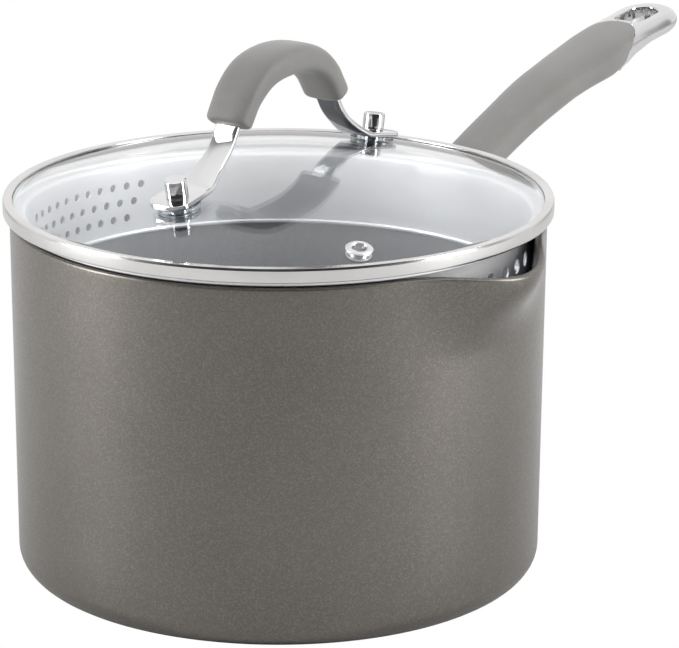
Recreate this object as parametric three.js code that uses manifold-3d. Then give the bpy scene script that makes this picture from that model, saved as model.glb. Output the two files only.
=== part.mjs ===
// Saucepan with two pour spouts and a straining glass lid.
// Millimetres, +Z up. The origin is the centre of the pot's underside. +X points along the pan
// handle, and the two spouts point along +Y and -Y.
import * as THREE from "three";
import { mergeVertices } from "three/addons/utils/BufferGeometryUtils.js";
import Module from "manifold-3d";

const wasm = await Module();
wasm.setup();

const DEG = Math.PI / 180;
const POT_SEGMENTS = 60;
const LID_SEGMENTS = 48;
const GAP = 0.3; // clearance between pieces that move past each other
const SEAT = 0.1; // clearance between pieces that are clamped together

// Pot
const POT_RIM_R = 90.25;
const POT_FOOT_R = 89.25;
const POT_RIM_Z = 122.4;
const POT_WALL = 3;
const POT_FLOOR = 4;
const POT_CORNER_R = 8;
const POT_INNER_CORNER_R = 6;
const SPOUT_OUT = 12.6;
const SPOUT_HALF_ANGLE = 33 * DEG;
const SPOUT_SHARPNESS = 4;
const SPOUT_START_Z = 92;
const SPOUT_DROP = 3;

// Pan handle: side view of its top line, then its depth below that line and its half width
const HANDLE_TOP = [
  [88, 113.5],
  [96, 118],
  [125, 130.7],
  [155, 141.5],
  [185, 148.2],
  [210, 152.6],
  [245, 156.8],
];
const HANDLE_DEPTH = [
  [104, 12.6],
  [150, 13],
  [185, 12.6],
  [196, 11],
  [205, 9.8],
  [216, 9],
  [245, 7],
];
const HANDLE_HALF_W = [
  [104, 9.6],
  [130, 9.8],
  [160, 11],
  [185, 12.5],
  [208, 11.7],
  [245, 13.2],
];
const HANDLE_START_X = 104;
const HANDLE_TIP_X = 238;
const HANDLE_TIP_ROUND = 13;
const TONGUE_X = 194; // the grip ends in a half ellipse about this point, as seen from above
const TONGUE_REACH = 16.4;
const TONGUE_HALF_W = 13.4;
const TANG_HALF_W = 6.5;
const TANG_THICK = 3.6;
const TANG_END_X = 214;
const HANDLE_HOLE_X = 225;
const HANDLE_HOLE_R = 5.8;
const HANDLE_HOLE_BASE_X = 213;
const FLANGE_W = 40;
const FLANGE_H = 26;
const FLANGE_Z = 104;
const FLANGE_THICK = 3.5;
const PAN_RIVET_ANGLE = 8 * DEG; // each side of the handle, seen from above
const PAN_RIVET_R = 3.2;
const PAN_RIVET_HEAD_R = 5.5;

// Lid
const LID_TURN = 2 * DEG; // how far the lid is turned on the pot
const GLASS_EDGE_R = 91.4;
const GLASS_EDGE_TOP_Z = 128.5;
const GLASS_EDGE_BOTTOM_Z = 125.5;
const DOME_R = 294.5;
const DOME_APEX_Z = 142.4;
const GLASS_THICK = 3.2;
const RING_R = 92.5;
const RING_TOP_Z = 129.5;
const RING_BOTTOM_Z = 124.6;
const RING_SHEET = 0.6;
const RING_TOP_LIP_R = 89.4;
const RING_BOTTOM_LIP_R = 88;
const BAND_R = 85;
const BAND_SHEET = 0.6;
const BAND_BOTTOM_Z = 96.6;
const BAND_REST_Z = 122.75;
const BAND_COLLAR_R = 88.8;

// Straining holes
const FINE_HOLE_R = 1.4;
const FINE_MIDDLE = 92.3 * DEG;
const FINE_ROWS = [
  { z: 115, count: 11 },
  { z: 109.1, count: 10 },
  { z: 103.3, count: 9 },
];
const FINE_PITCH = 4.2 * DEG;
const COARSE_HOLE_R = 2.5;
const COARSE_MIDDLE = -90 * DEG;
const COARSE_ROWS = [
  { z: 113.4, count: 7 },
  { z: 105, count: 6 },
];
const COARSE_PITCH = 6.6 * DEG;

// Lid handle: right half of its mid-thickness line in side view
const STUD_ARC_R = 55; // distance of each stud from the axis, where it meets the glass
const STUD_TILT = Math.asin(STUD_ARC_R / DOME_R);
const SPACER_R = 7.5;
const SPACER_THICK = 1.4;
const STRAP_THICK = 1.8;
const STRAP_FOOT_HALF_W = 7.4;
const STRAP_LEG_HALF_W = 4.6;
const STRAP_TIP_PAST_STUD = 8.3;
const ARCH_LINE = [
  [38, 146.4],
  [31.8, 152],
  [27.2, 159.5],
  [22, 167.6],
  [13, 173.8],
];
const ARCH_APEX_Z = 175.8;
const SLEEVE_REACH_X = 31;
const SLEEVE_BOTTOM_Z = 158.2;
const SLEEVE_HALF_W = 9;
const SLEEVE_HALF_T = 5.2;
const SLEEVE_TAPER = 1.4; // how much thinner each side is at the ends
const STUD_HEAD_R = 3.7;
const STUD_HEAD_H = 5.9;
const STUD_SHANK_R = 2.4;
const UNDER_WASHER_R = 7;
const UNDER_WASHER_THICK = 1.4;
const STUD_TAIL_R = 4;
const STUD_TAIL_H = 1.6;

// Steam vent
const VENT_R = 80;
const VENT_ANGLE = -125.4 * DEG;
const VENT_HOLE_R = 2.4;
const VENT_FLANGE_R = 4.7;

const material = (color, roughness, metalness) =>
  new THREE.MeshStandardMaterial({ color, roughness, metalness });
const materials = {
  body: () => material(0x6f6a63, 0.45, 0.7),
  steel: () => material(0xd8d8da, 0.15, 1),
  silicone: () => material(0x8e8c88, 0.8, 0),
  glass: () => material(0xc4ccd2, 0.05, 0),
  clear: () => material(0xb8c8d4, 0.3, 0),
};

// Solids and geometries

function toSolid(geometry) {
  const bare = geometry.clone();
  bare.deleteAttribute("normal");
  bare.deleteAttribute("uv");
  const merged = mergeVertices(bare, 1e-3);
  return new wasm.Manifold(
    new wasm.Mesh({
      numProp: 3,
      vertProperties: merged.attributes.position.array,
      triVerts: new Uint32Array(merged.index.array),
    }),
  );
}

function toGeometry(solid) {
  const { vertProperties, triVerts } = solid.getMesh();
  const geometry = new THREE.BufferGeometry();
  geometry.setAttribute("position", new THREE.BufferAttribute(vertProperties, 3));
  geometry.setIndex(new THREE.BufferAttribute(triVerts, 1));
  geometry.computeVertexNormals();
  return geometry;
}

function mesh(name, geometry, makeMaterial) {
  const made = new THREE.Mesh(geometry, makeMaterial());
  made.name = name;
  return made;
}

// A profile of [r, z] points, spun about Z. It runs counterclockwise: up its outer side.
function spun(profile, segments = LID_SEGMENTS) {
  const points = profile.map(([r, z]) => new THREE.Vector2(r, z));
  return new THREE.LatheGeometry(points, segments).rotateX(Math.PI / 2);
}

function spunRing(section, segments) {
  return spun([...section, section[0]], segments);
}

// A shape drawn in side view, x across and z up, extruded to both sides of the XZ plane.
function slabAcrossY(shape, width) {
  const options = { depth: width, bevelEnabled: false, curveSegments: 8 };
  return new THREE.ExtrudeGeometry(shape, options)
    .translate(0, 0, -width / 2)
    .rotateX(Math.PI / 2);
}

// A shape drawn in plan, extruded from one height to another.
function slabUp(shape, low, high) {
  const options = { depth: high - low, bevelEnabled: false, curveSegments: 8 };
  return new THREE.ExtrudeGeometry(shape, options).translate(0, 0, low);
}

// The outline of a strip of even thickness along a 2-D curve.
function stripShape(curve, thickness, steps) {
  const upper = [];
  const lower = [];
  for (let i = 0; i <= steps; i++) {
    const middle = curve.getPoint(i / steps);
    const tangent = curve.getTangent(i / steps);
    const offset = new THREE.Vector2(-tangent.y, tangent.x).multiplyScalar(thickness / 2);
    upper.push(middle.clone().add(offset));
    lower.push(middle.clone().sub(offset));
  }
  return new THREE.Shape([...lower, ...upper.reverse()]);
}

// The [x, z] point and the slope angle of a side-view curve at the share t of its length.
function stationOn(curve, t) {
  const point = curve.getPointAt(t);
  const tangent = curve.getTangentAt(t);
  return { x: point.x, z: point.y, slope: Math.atan2(tangent.y, tangent.x) };
}

// A rounded bar that follows a side-view curve. section(share) gives its half width w, its half
// thickness t and its squareness (1 for an ellipse, less for a squarer form) at each share of its
// length. Its ends are rounded over the length round.
function roundedBar(curve, section, { steps, sides, round }) {
  const bar = new THREE.CylinderGeometry(1, 1, 1, sides, steps);
  const position = bar.attributes.position;
  const length = curve.getLength();
  for (let i = 0; i < position.count; i++) {
    const share = crowdedEnds(position.getY(i) + 0.5);
    const toEnd = Math.min(share, 1 - share) * length;
    const inset = toEnd < round ? 1 - Math.sqrt(1 - (1 - toEnd / round) ** 2) : 0;
    const { w, t, squareness } = section(share);
    const angle = Math.atan2(position.getZ(i), position.getX(i));
    const reach = Math.hypot(position.getX(i), position.getZ(i));
    const across = reach * squared(Math.cos(angle), squareness) * (w - inset * round);
    const proud = reach * squared(Math.sin(angle), squareness) * (t - inset * round);
    const { x, z, slope } = stationOn(curve, share);
    position.setXYZ(i, x - proud * Math.sin(slope), -across, z + proud * Math.cos(slope));
  }
  return bar;
}

// Draws evenly spaced stations in towards both ends.
function crowdedEnds(share) {
  return share - Math.sin(2 * Math.PI * share) * 0.1;
}

function squared(value, power) {
  return Math.sign(value) * Math.abs(value) ** power;
}

function drill(solid, tool) {
  return solid.subtract(tool);
}

// A prism standing on the dome at the studs' distance, with its axis along the dome's normal.
function domePlaced(geometry, distance, angle) {
  const tilt = Math.asin(distance / DOME_R);
  return geometry
    .translate(0, 0, DOME_R)
    .rotateY(tilt)
    .translate(0, 0, DOME_APEX_Z - DOME_R)
    .rotateZ(angle);
}

// Pot

function spoutShare(x, y) {
  const fromAxis = Math.abs(Math.atan2(x, Math.abs(y))) / SPOUT_HALF_ANGLE;
  return fromAxis < 1 ? Math.cos((fromAxis * Math.PI) / 2) ** SPOUT_SHARPNESS : 0;
}

function potShell() {
  const wallR = (z) => THREE.MathUtils.mapLinear(z, 0, POT_RIM_Z, POT_FOOT_R, POT_RIM_R);
  const spoutLevels = [0, 0.3, 0.55, 0.76, 0.92].map((s) =>
    THREE.MathUtils.lerp(SPOUT_START_Z, POT_RIM_Z, s),
  );
  const corner = (r, z, radius, from, to) =>
    [0, 0.25, 0.5, 0.75, 1].map((s) => {
      const angle = THREE.MathUtils.lerp(from, to, s) * DEG;
      return [r + radius * Math.cos(angle), z + radius * Math.sin(angle)];
    });
  const innerR = POT_FOOT_R - POT_WALL;
  const outside = [
    [0, 0],
    ...corner(POT_FOOT_R - POT_CORNER_R, POT_CORNER_R, POT_CORNER_R, -90, 0),
    ...spoutLevels.map((z) => [wallR(z), z]),
    [wallR(POT_RIM_Z) - 0.4, POT_RIM_Z],
  ];
  const inside = [
    [wallR(POT_RIM_Z) - POT_WALL + 0.4, POT_RIM_Z],
    ...spoutLevels.map((z) => [wallR(z) - POT_WALL, z]).reverse(),
    ...corner(
      innerR - POT_INNER_CORNER_R,
      POT_FLOOR + POT_INNER_CORNER_R,
      POT_INNER_CORNER_R,
      0,
      -90,
    ).filter((_, i) => i % 2 === 0),
    [0, POT_FLOOR],
  ];
  const shell = spun([...outside, ...inside], POT_SEGMENTS);
  const position = shell.attributes.position;
  for (let i = 0; i < position.count; i++) {
    const x = position.getX(i);
    const y = position.getY(i);
    const z = position.getZ(i);
    const rise = THREE.MathUtils.smoothstep(z, SPOUT_START_Z, POT_RIM_Z);
    const share = spoutShare(x, y) * rise;
    const stretch = 1 + (SPOUT_OUT * share) / Math.max(Math.hypot(x, y), 1);
    position.setXYZ(i, x * stretch, y * stretch, z - SPOUT_DROP * share * rise);
  }
  return panRivetHoles().reduce(drill, toSolid(shell));
}

// Pan handle

const handleTop = new THREE.SplineCurve(HANDLE_TOP.map(([x, z]) => new THREE.Vector2(x, z)));

// Reads a table of [x, value] rows at x, easing from each row to the next.
function readAt(table, x) {
  const next = table.findIndex(([rowX]) => rowX >= x);
  if (next <= 0) return table.at(next)[1];
  const [lowX, low] = table[next - 1];
  const [highX, high] = table[next];
  return THREE.MathUtils.lerp(low, high, THREE.MathUtils.smoothstep(x, lowX, highX));
}

// The line at depthAt(x) below the handle's top, square to it, over a stretch of X.
function belowTop(depthAt, fromX, toX) {
  const points = [];
  for (let i = 0; i <= 60; i++) {
    const tangent = handleTop.getTangentAt(i / 60);
    const point = handleTop.getPointAt(i / 60);
    const depth = depthAt(point.x);
    points.push(new THREE.Vector2(point.x + tangent.y * depth, point.y - tangent.x * depth));
  }
  return new THREE.SplineCurve(points.filter(({ x }) => x >= fromX && x <= toX));
}

// The handle's whole outer form: grip and steel end together.
function handleForm() {
  const middle = belowTop((x) => readAt(HANDLE_DEPTH, x) / 2, HANDLE_START_X, HANDLE_TIP_X);
  const halfSize = (share) => {
    const { x } = stationOn(middle, share);
    const fromTip = Math.max(0, 1 - (HANDLE_TIP_X - x) / HANDLE_TIP_ROUND);
    return {
      w: readAt(HANDLE_HALF_W, x) * Math.sqrt(1 - fromTip ** 2 * 0.98),
      t: readAt(HANDLE_DEPTH, x) / 2,
      squareness: THREE.MathUtils.mapLinear(
        THREE.MathUtils.clamp(x, TONGUE_X - 10, TONGUE_X + 20),
        TONGUE_X - 10,
        TONGUE_X + 20,
        0.78,
        0.4,
      ),
    };
  };
  return toSolid(roundedBar(middle, halfSize, { steps: 20, sides: 16, round: 1.5 }));
}

// A plan region that holds everything behind the grip's rounded front edge.
function tongue(extra) {
  const plan = new THREE.Shape();
  const halfW = TONGUE_HALF_W + extra;
  const beside = 20;
  const start = 80;
  plan.moveTo(start, -beside);
  plan.lineTo(TONGUE_X - 8, -beside);
  plan.lineTo(TONGUE_X, -halfW);
  plan.absellipse(TONGUE_X, 0, TONGUE_REACH + extra, halfW, -Math.PI / 2, Math.PI / 2, false, 0);
  plan.lineTo(TONGUE_X - 8, beside);
  plan.lineTo(start, beside);
  return toSolid(slabUp(plan, 80, 180));
}

// The flat bar that joins the steel end to the flange, through the grip.
function tang(extra) {
  const depthAt = (x) => THREE.MathUtils.lerp(6.3, 2.9, THREE.MathUtils.smoothstep(x, 182, 210));
  const line = belowTop(depthAt, 80, TANG_END_X + extra);
  const strip = stripShape(line, TANG_THICK + 2 * extra, 14);
  return toSolid(slabAcrossY(strip, 2 * (TANG_HALF_W + extra)));
}

function hangingHole() {
  const hole = new THREE.Shape();
  const half = HANDLE_HOLE_R;
  const corner = 2;
  hole.moveTo(HANDLE_HOLE_BASE_X, -half + corner);
  hole.quadraticCurveTo(HANDLE_HOLE_BASE_X, -half, HANDLE_HOLE_BASE_X + corner, -half);
  hole.lineTo(HANDLE_HOLE_X, -half);
  hole.absarc(HANDLE_HOLE_X, 0, half, -Math.PI / 2, Math.PI / 2, false);
  hole.lineTo(HANDLE_HOLE_BASE_X + corner, half);
  hole.quadraticCurveTo(HANDLE_HOLE_BASE_X, half, HANDLE_HOLE_BASE_X, half - corner);
  return toSolid(slabUp(hole, 130, 170));
}

// The wall's own curve, cut from a plate, so the flange lies flat against the pot.
function handleFlange() {
  const inner = POT_RIM_R + SEAT;
  const collar = toSolid(
    spunRing(
      [
        [inner, FLANGE_Z - FLANGE_H],
        [inner + FLANGE_THICK, FLANGE_Z - FLANGE_H],
        [inner + FLANGE_THICK, FLANGE_Z + FLANGE_H],
        [inner, FLANGE_Z + FLANGE_H],
      ],
      POT_SEGMENTS,
    ),
  );
  const half = FLANGE_W / 2;
  const corner = 9;
  const face = new THREE.Shape();
  face.absarc(half - corner, corner - FLANGE_H / 2, corner, -Math.PI / 2, 0, false);
  face.absarc(half - corner, FLANGE_H / 2 - corner, corner, 0, Math.PI / 2, false);
  face.absarc(corner - half, FLANGE_H / 2 - corner, corner, Math.PI / 2, Math.PI, false);
  face.absarc(corner - half, corner - FLANGE_H / 2, corner, Math.PI, 1.5 * Math.PI, false);
  const plate = slabUp(face, 60, 110)
    .rotateZ(Math.PI / 2)
    .rotateY(Math.PI / 2)
    .translate(0, 0, FLANGE_Z);
  return collar.intersect(toSolid(plate));
}

// The pair of rivet holes through the pot wall and the handle's flange.
function panRivetHoles() {
  const radius = PAN_RIVET_R + SEAT;
  const length = 30;
  return [-1, 1].map((side) => {
    const prism = new THREE.CylinderGeometry(radius, radius, length, 14);
    prism.rotateZ(Math.PI / 2).translate(POT_RIM_R, 0, FLANGE_Z);
    return toSolid(prism.rotateZ(side * PAN_RIVET_ANGLE));
  });
}

function handleCore() {
  const outsidePot = toSolid(
    spunRing(
      [
        [POT_RIM_R + SEAT, 70],
        [300, 70],
        [300, 180],
        [POT_RIM_R + SEAT, 180],
      ],
      POT_SEGMENTS,
    ),
  );
  const end = handleForm().subtract(tongue(SEAT));
  const whole = tang(0).intersect(outsidePot).add(handleFlange()).add(end);
  return [hangingHole(), ...panRivetHoles()].reduce(drill, whole);
}

function handleGrip() {
  return handleForm().intersect(tongue(0)).subtract(tang(SEAT));
}

function panRivet(side) {
  const inner = POT_RIM_R - POT_WALL;
  const outer = POT_RIM_R + FLANGE_THICK;
  const profile = [
    [0, inner - 2.3],
    [PAN_RIVET_HEAD_R - 1.5, inner - 2.1],
    [PAN_RIVET_HEAD_R, inner - 1.2],
    [PAN_RIVET_HEAD_R, inner - 0.7],
    [PAN_RIVET_R, inner - 0.7],
    [PAN_RIVET_R, outer + 0.3],
    [PAN_RIVET_HEAD_R - 1, outer + 0.3],
    [PAN_RIVET_HEAD_R - 1.5, outer + 1.6],
    [0, outer + 2],
  ];
  return spun(profile, 14)
    .rotateY(Math.PI / 2)
    .translate(0, 0, FLANGE_Z)
    .rotateZ(side * PAN_RIVET_ANGLE);
}

// Lid

// A straining hole or row of holes: prisms that point out from the axis through the band.
function bandHoles(rows, radius, pitch, middle, sides) {
  return rows.flatMap(({ z, count }) =>
    Array.from({ length: count }, (_, i) => {
      const angle = middle + (i - (count - 1) / 2) * pitch;
      const prism = new THREE.CylinderGeometry(radius, radius, 12, sides);
      return toSolid(prism.rotateZ(Math.PI / 2).translate(BAND_R, 0, z).rotateZ(angle));
    }),
  );
}

function strainingBand() {
  const inner = BAND_R - BAND_SHEET;
  const flangeTop = BAND_REST_Z + BAND_SHEET;
  const collarTop = RING_BOTTOM_Z - GAP;
  const section = [
    [inner, BAND_BOTTOM_Z],
    [BAND_R, BAND_BOTTOM_Z],
    [BAND_R, BAND_REST_Z - 1.2],
    [BAND_R + 1.2, BAND_REST_Z],
    [BAND_COLLAR_R, BAND_REST_Z],
    [BAND_COLLAR_R, collarTop],
    [BAND_COLLAR_R - BAND_SHEET, collarTop],
    [BAND_COLLAR_R - BAND_SHEET, flangeTop],
    [BAND_R + 0.8, flangeTop],
    [inner, flangeTop - 1.4],
  ];
  const band = toSolid(spunRing(section));
  const fine = bandHoles(FINE_ROWS, FINE_HOLE_R, FINE_PITCH, FINE_MIDDLE, 6);
  const coarse = bandHoles(COARSE_ROWS, COARSE_HOLE_R, COARSE_PITCH, COARSE_MIDDLE, 8);
  return [...fine, ...coarse].reduce(drill, band);
}

// The rolled ring: a channel that opens inwards, holding the glass between its two lips.
function rimRing() {
  const wall = RING_R - RING_SHEET;
  const round = 0.4;
  return spunRing([
    [RING_BOTTOM_LIP_R, RING_BOTTOM_Z],
    [RING_R - round, RING_BOTTOM_Z],
    [RING_R, RING_BOTTOM_Z + round],
    [RING_R, RING_TOP_Z - round],
    [RING_R - round, RING_TOP_Z],
    [RING_TOP_LIP_R, RING_TOP_Z],
    [RING_TOP_LIP_R, RING_TOP_Z - RING_SHEET],
    [wall, RING_TOP_Z - RING_SHEET],
    [wall, RING_BOTTOM_Z + RING_SHEET],
    [RING_BOTTOM_LIP_R, RING_BOTTOM_Z + RING_SHEET],
  ]);
}

function domeZ(r, depth) {
  const radius = DOME_R - depth;
  return DOME_APEX_Z - DOME_R + Math.sqrt(radius ** 2 - r ** 2);
}

function lidGlass() {
  const top = [89, 76, 62, 46, 30, 14].map((r) => [r, domeZ(r, 0)]);
  const under = [14, 32, 52, 70, 84].map((r) => [r, domeZ(r, GLASS_THICK)]);
  const dome = toSolid(
    spun([
      [0, domeZ(0, GLASS_THICK)],
      ...under,
      [88, domeZ(88, GLASS_THICK)],
      [GLASS_EDGE_R, GLASS_EDGE_BOTTOM_Z],
      [GLASS_EDGE_R, GLASS_EDGE_TOP_Z],
      ...top,
      [0, DOME_APEX_Z],
    ]),
  );
  const holes = [
    domePin(STUD_SHANK_R + GAP, -12, 6, STUD_ARC_R, 0),
    domePin(STUD_SHANK_R + GAP, -12, 6, STUD_ARC_R, Math.PI),
    domePin(VENT_HOLE_R + 0.7, -12, 6, VENT_R, VENT_ANGLE),
  ];
  return holes.reduce(drill, dome);
}

// A round pin along the dome's normal, between two heights above the glass.
function domePin(radius, from, to, distance, angle, sides = 12) {
  const pin = new THREE.CylinderGeometry(radius, radius, to - from, sides)
    .rotateX(Math.PI / 2)
    .translate(0, 0, (from + to) / 2);
  return toSolid(domePlaced(pin, distance, angle));
}

// The lid handle is laid out along X; its two ends differ only by a half turn.
const strapMid = SEAT + SPACER_THICK + SEAT + STRAP_THICK / 2;

function onStudAxis(height, beyond) {
  const reach = DOME_R + height;
  return new THREE.Vector2(
    reach * Math.sin(STUD_TILT) + beyond * Math.cos(STUD_TILT),
    DOME_APEX_Z - DOME_R + reach * Math.cos(STUD_TILT) - beyond * Math.sin(STUD_TILT),
  );
}

function archCurve() {
  const half = [
    ...[14, 9, 4, 0, -4, -8, -10].map((beyond) => onStudAxis(strapMid, beyond)),
    ...ARCH_LINE.map(([x, z]) => new THREE.Vector2(x, z)),
  ];
  const mirrored = half.map((p) => new THREE.Vector2(-p.x, p.y)).reverse();
  return new THREE.SplineCurve([...half, new THREE.Vector2(0, ARCH_APEX_Z), ...mirrored]);
}

function strapPlan(extra) {
  const foot = STRAP_FOOT_HALF_W + extra;
  const leg = STRAP_LEG_HALF_W + extra;
  const stud = onStudAxis(strapMid, 0).x;
  const tip = stud + STRAP_TIP_PAST_STUD;
  const round = 5;
  const plan = new THREE.Shape();
  for (const [side, first] of [
    [1, true],
    [-1, false],
  ]) {
    const start = [side * 30, -side * leg];
    if (first) plan.moveTo(...start);
    else plan.lineTo(...start);
    plan.bezierCurveTo(side * 42, -side * leg, side * 46, -side * foot, side * stud, -side * foot);
    plan.lineTo(side * (tip - round), -side * foot);
    plan.quadraticCurveTo(side * tip, -side * foot, side * tip, -side * (foot - round));
    plan.lineTo(side * tip, side * (foot - round));
    plan.quadraticCurveTo(side * tip, side * foot, side * (tip - round), side * foot);
    plan.lineTo(side * stud, side * foot);
    plan.bezierCurveTo(side * 46, side * foot, side * 42, side * leg, side * 30, side * leg);
  }
  return plan;
}

function strapBlank(extra) {
  const side = stripShape(archCurve(), STRAP_THICK + 2 * extra, 44);
  const slab = toSolid(slabAcrossY(side, 2 * STRAP_FOOT_HALF_W + 6));
  return slab.intersect(toSolid(slabUp(strapPlan(extra), 110, 200)));
}

function lidHandleStrap() {
  const studs = [0, Math.PI].map((angle) =>
    domePin(STUD_SHANK_R + SEAT, -2, 9, STUD_ARC_R, angle),
  );
  return studs.reduce(drill, strapBlank(0));
}

function lidHandleGrip() {
  const arch = archCurve();
  const inGrip = ({ x, y }) => Math.abs(x) <= SLEEVE_REACH_X && y > SLEEVE_BOTTOM_Z;
  const within = arch.getSpacedPoints(120).filter(inGrip);
  const halfSize = (share) => {
    const middle = Math.sin(Math.PI * THREE.MathUtils.clamp(share, 0, 1));
    return {
      w: SLEEVE_HALF_W - 1 + middle,
      t: SLEEVE_HALF_T - SLEEVE_TAPER * (1 - middle),
      squareness: 0.7,
    };
  };
  const bar = roundedBar(new THREE.SplineCurve(within), halfSize, {
    steps: 16,
    sides: 14,
    round: 3,
  });
  return toSolid(bar).subtract(strapBlank(SEAT));
}

function lidStud(angle) {
  const headLow = SEAT + SPACER_THICK + SEAT + STRAP_THICK + SEAT;
  const headTop = headLow + STUD_HEAD_H;
  const tailTop = -GLASS_THICK - GAP - UNDER_WASHER_THICK - SEAT;
  const round = 0.8;
  const stud = spun(
    [
      [0, tailTop - STUD_TAIL_H],
      [STUD_TAIL_R - round, tailTop - STUD_TAIL_H],
      [STUD_TAIL_R, tailTop],
      [STUD_SHANK_R, tailTop],
      [STUD_SHANK_R, headLow],
      [STUD_HEAD_R, headLow],
      [STUD_HEAD_R, headTop - round],
      [STUD_HEAD_R - round, headTop],
      [0, headTop],
    ],
    14,
  );
  return domePlaced(stud, STUD_ARC_R, angle);
}

function washer(inner, outer, low, high, distance, angle) {
  const section = [
    [inner, low],
    [outer, low],
    [outer, high],
    [inner, high],
  ];
  return domePlaced(spunRing(section, 16), distance, angle);
}

function seatWasher(angle) {
  const low = SEAT;
  return washer(STUD_SHANK_R + SEAT, SPACER_R, low, low + SPACER_THICK, STUD_ARC_R, angle);
}

function underWasher(angle) {
  const high = -GLASS_THICK - GAP;
  const low = high - UNDER_WASHER_THICK;
  return washer(STUD_SHANK_R + SEAT, UNDER_WASHER_R, low, high, STUD_ARC_R, angle);
}

// A tubular rivet: flanges above and below the glass, joined by a tube through it.
function ventEyelet() {
  const sheet = 0.5;
  const tube = VENT_HOLE_R + 0.4;
  const topLow = SEAT;
  const underHigh = -GLASS_THICK - GAP;
  const section = [
    [VENT_HOLE_R, underHigh - sheet],
    [VENT_FLANGE_R - 0.5, underHigh - sheet],
    [VENT_FLANGE_R - 0.5, underHigh],
    [tube, underHigh],
    [tube, topLow],
    [VENT_FLANGE_R, topLow],
    [VENT_FLANGE_R - 0.5, topLow + 0.8],
    [VENT_HOLE_R + 0.4, topLow + 1],
    [VENT_HOLE_R, topLow + 0.6],
  ];
  return domePlaced(spunRing(section, 16), VENT_R, VENT_ANGLE);
}

const pan = new THREE.Group();
pan.add(
  mesh("pot_shell", toGeometry(potShell()), materials.body),
  mesh("handle_core", toGeometry(handleCore()), materials.steel),
  mesh("handle_grip", toGeometry(handleGrip()), materials.silicone),
  mesh("pan_rivet_left", panRivet(1), materials.steel),
  mesh("pan_rivet_right", panRivet(-1), materials.steel),
);

const lid = new THREE.Group();
lid.rotation.z = LID_TURN;
lid.add(
  mesh("rim_ring", rimRing(), materials.steel),
  mesh("lid_glass", toGeometry(lidGlass()), materials.glass),
  mesh("straining_band", toGeometry(strainingBand()), materials.steel),
  mesh("lid_handle_strap", toGeometry(lidHandleStrap()), materials.steel),
  mesh("lid_handle_grip", toGeometry(lidHandleGrip()), materials.silicone),
  mesh("vent_eyelet", ventEyelet(), materials.steel),
);
for (const [end, angle] of [
  ["far", 0],
  ["near", Math.PI],
]) {
  lid.add(
    mesh(`lid_stud_${end}`, lidStud(angle), materials.steel),
    mesh(`seat_washer_${end}`, seatWasher(angle), materials.clear),
    mesh(`under_washer_${end}`, underWasher(angle), materials.clear),
  );
}

const saucepan = new THREE.Group();
saucepan.add(pan, lid);
export default saucepan;
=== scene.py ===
"""Looks of a saucepan with two pour spouts and a straining glass lid, around its CAD frame.

Shapes are laid out in millimetres in the frame's own axes: +Z up, +X along the pan handle, the
spouts toward +Y and -Y. They become metres when a piece is made. Dimensions with the names that
the CAD part uses have the CAD part's values.
"""

import math

import bmesh
import bpy
import numpy as np
from mathutils import Matrix, Vector


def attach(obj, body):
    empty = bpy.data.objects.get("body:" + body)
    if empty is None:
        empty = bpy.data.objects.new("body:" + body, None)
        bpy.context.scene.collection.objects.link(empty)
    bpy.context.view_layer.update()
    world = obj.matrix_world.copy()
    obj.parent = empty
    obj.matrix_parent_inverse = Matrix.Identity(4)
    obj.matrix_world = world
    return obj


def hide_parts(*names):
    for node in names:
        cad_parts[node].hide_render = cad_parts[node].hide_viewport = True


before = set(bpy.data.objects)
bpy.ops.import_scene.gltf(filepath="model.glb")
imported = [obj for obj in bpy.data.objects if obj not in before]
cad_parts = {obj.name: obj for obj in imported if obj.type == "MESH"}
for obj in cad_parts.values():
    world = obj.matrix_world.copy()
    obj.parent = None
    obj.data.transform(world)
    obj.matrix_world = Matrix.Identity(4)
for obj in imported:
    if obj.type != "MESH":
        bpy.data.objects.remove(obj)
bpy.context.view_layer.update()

MM = 0.001
TAU = 2 * math.pi
POLE_R = 1e-6  # a point nearer the axis than this is on it
LID_TURN = math.radians(2)
GAP = 0.3  # left under the ring and under the glass
SEAT = 0.1  # left between other pieces that are clamped together

# Pot
POT_RIM_R = 90.25
POT_FOOT_R = 89.25
POT_RIM_Z = 122.4
POT_WALL = 3
POT_FLOOR = 4
POT_CORNER_R = 8
POT_INNER_CORNER_R = 6
SPOUT_OUT = 12.6
SPOUT_HALF_ANGLE = math.radians(33)
SPOUT_SHARPNESS = 4
SPOUT_START_Z = 92
SPOUT_DROP = 3

# Pan handle: side view of its top line, then depth below it and half width, along X
HANDLE_TOP = [
    (88, 113.5), (96, 118), (125, 130.7), (155, 141.5), (185, 148.2), (210, 152.6), (245, 156.8),
]
HANDLE_DEPTH = [(104, 12.6), (150, 13), (185, 12.6), (196, 11), (205, 9.8), (216, 9), (245, 7)]
HANDLE_HALF_W = [(104, 9.6), (130, 9.8), (160, 11), (185, 12.5), (208, 11.7), (245, 13.2)]
HANDLE_START_X = 104
HANDLE_TIP_X = 238
TIP_ROUND = 13
GRIP_FRONT_X = 194  # where the grip's tongue starts, along the handle's middle
GRIP_FRONT_REACH = 16.4
GRIP_FRONT_HALF_W = 13.4
GRIP_FRONT_LEAN = 7  # how much further back the front is at the underside
GRIP_FRONT_FADE = 0.65  # share of the tongue's reach that is gone at the underside
GRIP_EDGE = 0.7
TANG_HALF_W = 6.5
TANG_THICK = 3.6
TANG_DEPTH = 6.3  # below the handle's top, in the grip
TANG_END_DEPTH = 2.9
TANG_START_X = 92.5
TANG_END_X = 208
NECK_START_X = 91.5
NECK_END_X = 110
HOLE_X = 225
HOLE_R = 5.8
HOLE_BASE_X = 213
HOLE_CORNER = 2
HOLE_LIP = 0.7
EDGE_SPREAD = 4.2  # how far in from its sides the steel end starts to round over
STEEL_CROWN = 1.1
FLANGE_W = 40
FLANGE_H = 26
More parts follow.
